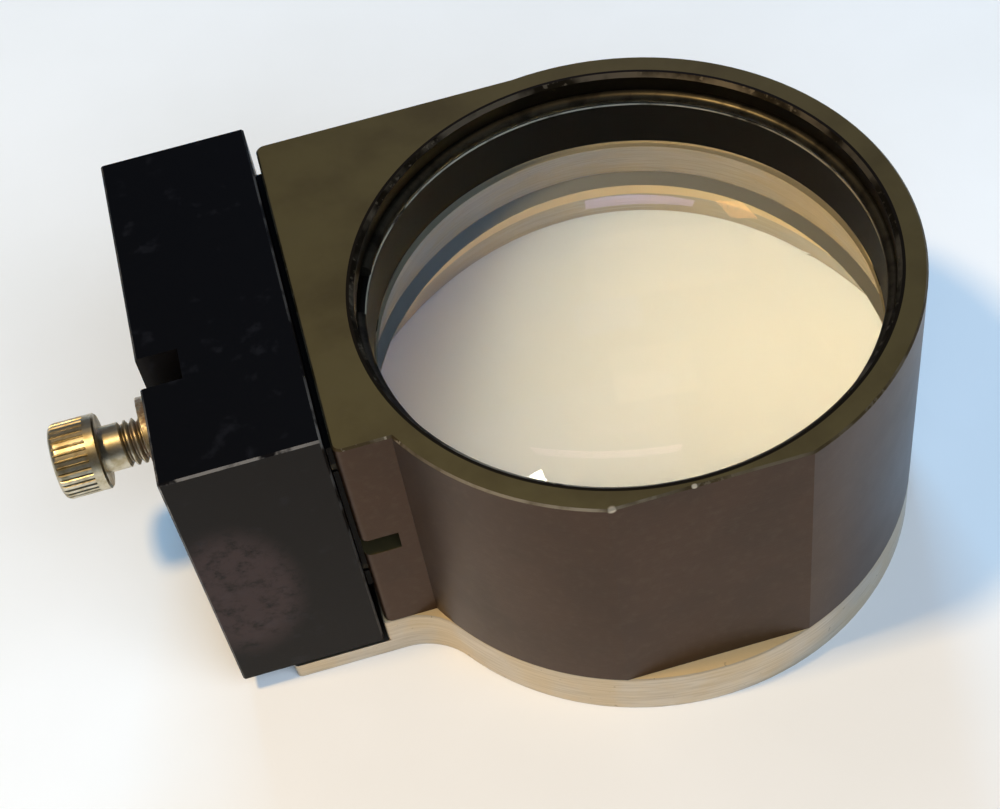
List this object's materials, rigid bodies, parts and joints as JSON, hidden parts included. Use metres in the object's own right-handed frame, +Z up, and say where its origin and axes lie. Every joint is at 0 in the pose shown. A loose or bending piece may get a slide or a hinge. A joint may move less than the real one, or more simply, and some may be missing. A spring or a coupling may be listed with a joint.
{
  "type": "enlarger lens",
  "caption": "Darkroom enlarger lens in a keyhole-shaped metal housing on a base plate, with a black mount block and a knurled mounting screw at one side.",
  "frame": {"origin": "on the optical axis, in the plane of the base plate's underside", "axes": "+Z up the optical axis towards the open end of the bore; -X towards the mount block and its screw; -Y the front, where the barrel has its flat"},
  "size_m": [0.0864, 0.0572, 0.0367],
  "materials": {
    "bronze_anodised": "satin",
    "bare_aluminium": "satin",
    "black_anodised": "satin",
    "plated_steel": "satin",
    "blackened_steel": "satin",
    "black_ring": "satin",
    "optical_glass": "polished"
  },
  "bodies": {
    "lens_unit": {"housing": "bronze_anodised", "base_plate": "bare_aluminium", "plate_screws": "plated_steel", "mount_block": "black_anodised", "locating_key": "plated_steel", "block_screws": "blackened_steel", "lower_lens": "optical_glass", "lens_spacer": "black_ring", "upper_lens": "optical_glass", "retaining_ring": "black_ring", "snap_ring": "blackened_steel", "flat_washer": "plated_steel", "lock_washer": "plated_steel"},
    "mounting_screw": {"mounting_screw": "plated_steel"}
  },
  "joints": [
    {"name": "screw_travel", "type": "slide", "parent": "lens_unit", "child": "mounting_screw", "axis": [-1, 0, 0], "range_m": [-0.00405, 0.0044]}
  ]
}
